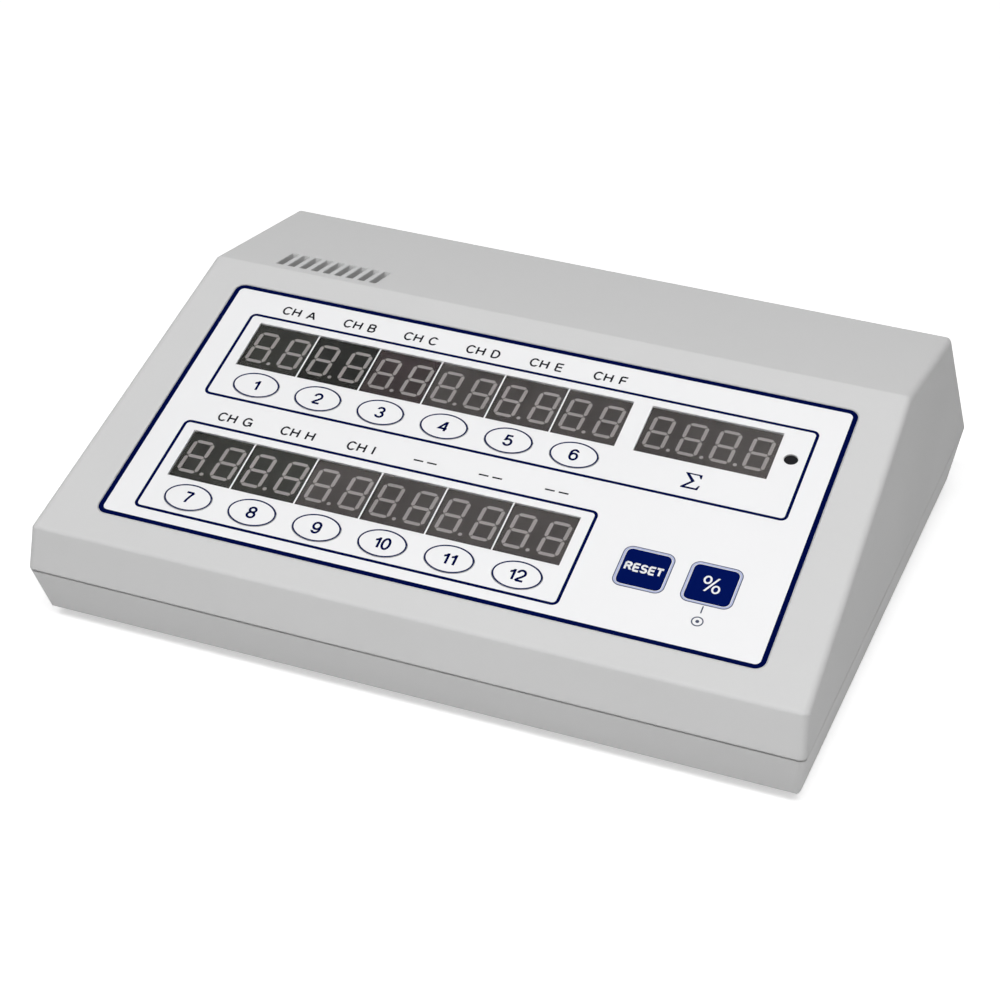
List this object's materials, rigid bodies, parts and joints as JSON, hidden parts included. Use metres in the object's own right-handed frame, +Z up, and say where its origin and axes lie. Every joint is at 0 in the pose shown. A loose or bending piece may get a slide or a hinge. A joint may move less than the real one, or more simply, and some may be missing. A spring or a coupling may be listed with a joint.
{
  "type": "differential cell counter",
  "caption": "Wedge-shaped bench tally counter with a sloping membrane panel of digit displays, oval and square push keys, top vent slots and a recessed rear connector bay.",
  "frame": {"origin": "middle of the case's footprint, on the surface that the feet stand on", "axes": "+X to the user's right, +Y to the rear, +Z up"},
  "size_m": [0.1724, 0.164, 0.0564],
  "materials": {
    "upper_plastic": "fine satin texture",
    "lower_plastic": "fine satin texture",
    "overlay_film": "smooth printed film",
    "window_film": "clear film",
    "display_body": "smooth",
    "key_white": "smooth printed film",
    "key_navy": "smooth printed film",
    "switch_black": "moulded",
    "board_green": "solder mask",
    "steel": "plated",
    "chip_black": "moulded",
    "ribbon_grey": "flexible sleeve",
    "board_tan": "bare laminate",
    "core_steel": "laminated stack",
    "coil_tape": "taped winding",
    "capacitor_sleeve": "shrunk sleeve",
    "sink_aluminium": "extruded",
    "fuse_glass": "clear tube",
    "brass": "plated",
    "terminal_green": "moulded",
    "lead_red": "flexible sleeve",
    "connector_black": "moulded",
    "rocker_black": "moulded",
    "port_shell": "tinned",
    "rubber": "matte",
    "label_foil": "bare foil"
  },
  "bodies": {
    "case": {"upper_shell": "upper_plastic", "lower_shell": "lower_plastic", "panel_overlay": "overlay_film", "display_windows": "window_film", "display_1": "display_body", "display_2": "display_body", "display_3": "display_body", "display_4": "display_body", "display_5": "display_body", "display_6": "display_body", "display_7": "display_body", "display_8": "display_body", "display_9": "display_body", "display_10": "display_body", "display_11": "display_body", "display_12": "display_body", "display_total": "display_body", "push_switches": "switch_black", "buzzer": "switch_black", "main_board": "board_green", "board_screws": "steel", "controller_chip": "chip_black", "driver_chips": "chip_black", "ribbon_cable": "ribbon_grey", "power_board": "board_tan", "power_board_screws": "steel", "transformer_core": "core_steel", "transformer_coil": "coil_tape", "rectifier": "chip_black", "smoothing_capacitor": "capacitor_sleeve", "voltage_regulator": "chip_black", "heat_sink": "sink_aluminium", "fuse": "fuse_glass", "fuse_clips": "brass", "terminal_block": "terminal_green", "mains_leads": "lead_red", "inlet_body": "connector_black", "inlet_pins": "brass", "inlet_screws": "steel", "switch_frame": "connector_black", "data_port": "port_shell", "port_posts": "steel", "case_screws": "steel", "rubber_feet": "rubber", "rating_label": "label_foil"},
    "key_1": {"key_1": "key_white"},
    "key_2": {"key_2": "key_white"},
    "key_3": {"key_3": "key_white"},
    "key_4": {"key_4": "key_white"},
    "key_5": {"key_5": "key_white"},
    "key_6": {"key_6": "key_white"},
    "key_7": {"key_7": "key_white"},
    "key_8": {"key_8": "key_white"},
    "key_9": {"key_9": "key_white"},
    "key_10": {"key_10": "key_white"},
    "key_11": {"key_11": "key_white"},
    "key_12": {"key_12": "key_white"},
    "key_reset": {"key_reset": "key_navy"},
    "key_percent": {"key_percent": "key_navy"},
    "rocker": {"switch_rocker": "rocker_black"}
  },
  "joints": [
    {"name": "key_1_press", "type": "slide", "parent": "case", "child": "key_1", "axis": [0, 0.342, -0.9397], "range_m": [0, 0.0004], "stiffness_N_per_m": 400},
    {"name": "key_2_press", "type": "slide", "parent": "case", "child": "key_2", "axis": [0, 0.342, -0.9397], "range_m": [0, 0.0004], "stiffness_N_per_m": 400},
    {"name": "key_3_press", "type": "slide", "parent": "case", "child": "key_3", "axis": [0, 0.342, -0.9397], "range_m": [0, 0.0004], "stiffness_N_per_m": 400},
    {"name": "key_4_press", "type": "slide", "parent": "case", "child": "key_4", "axis": [0, 0.342, -0.9397], "range_m": [0, 0.0004], "stiffness_N_per_m": 400},
    {"name": "key_5_press", "type": "slide", "parent": "case", "child": "key_5", "axis": [0, 0.342, -0.9397], "range_m": [0, 0.0004], "stiffness_N_per_m": 400},
    {"name": "key_6_press", "type": "slide", "parent": "case", "child": "key_6", "axis": [0, 0.342, -0.9397], "range_m": [0, 0.0004], "stiffness_N_per_m": 400},
    {"name": "key_7_press", "type": "slide", "parent": "case", "child": "key_7", "axis": [0, 0.342, -0.9397], "range_m": [0, 0.0004], "stiffness_N_per_m": 400},
    {"name": "key_8_press", "type": "slide", "parent": "case", "child": "key_8", "axis": [0, 0.342, -0.9397], "range_m": [0, 0.0004], "stiffness_N_per_m": 400},
    {"name": "key_9_press", "type": "slide", "parent": "case", "child": "key_9", "axis": [0, 0.342, -0.9397], "range_m": [0, 0.0004], "stiffness_N_per_m": 400},
    {"name": "key_10_press", "type": "slide", "parent": "case", "child": "key_10", "axis": [0, 0.342, -0.9397], "range_m": [0, 0.0004], "stiffness_N_per_m": 400},
    {"name": "key_11_press", "type": "slide", "parent": "case", "child": "key_11", "axis": [0, 0.342, -0.9397], "range_m": [0, 0.0004], "stiffness_N_per_m": 400},
    {"name": "key_12_press", "type": "slide", "parent": "case", "child": "key_12", "axis": [0, 0.342, -0.9397], "range_m": [0, 0.0004], "stiffness_N_per_m": 400},
    {"name": "key_reset_press", "type": "slide", "parent": "case", "child": "key_reset", "axis": [0, 0.342, -0.9397], "range_m": [0, 0.0004], "stiffness_N_per_m": 400},
    {"name": "key_percent_press", "type": "slide", "parent": "case", "child": "key_percent", "axis": [0, 0.342, -0.9397], "range_m": [0, 0.0004], "stiffness_N_per_m": 400},
    {"name": "rocker_tilt", "type": "hinge", "parent": "case", "child": "rocker", "pos_m": [0.002, 0.05434, 0.0313], "axis": [0, 0, 1], "range_deg": [0, 16]}
  ]
}
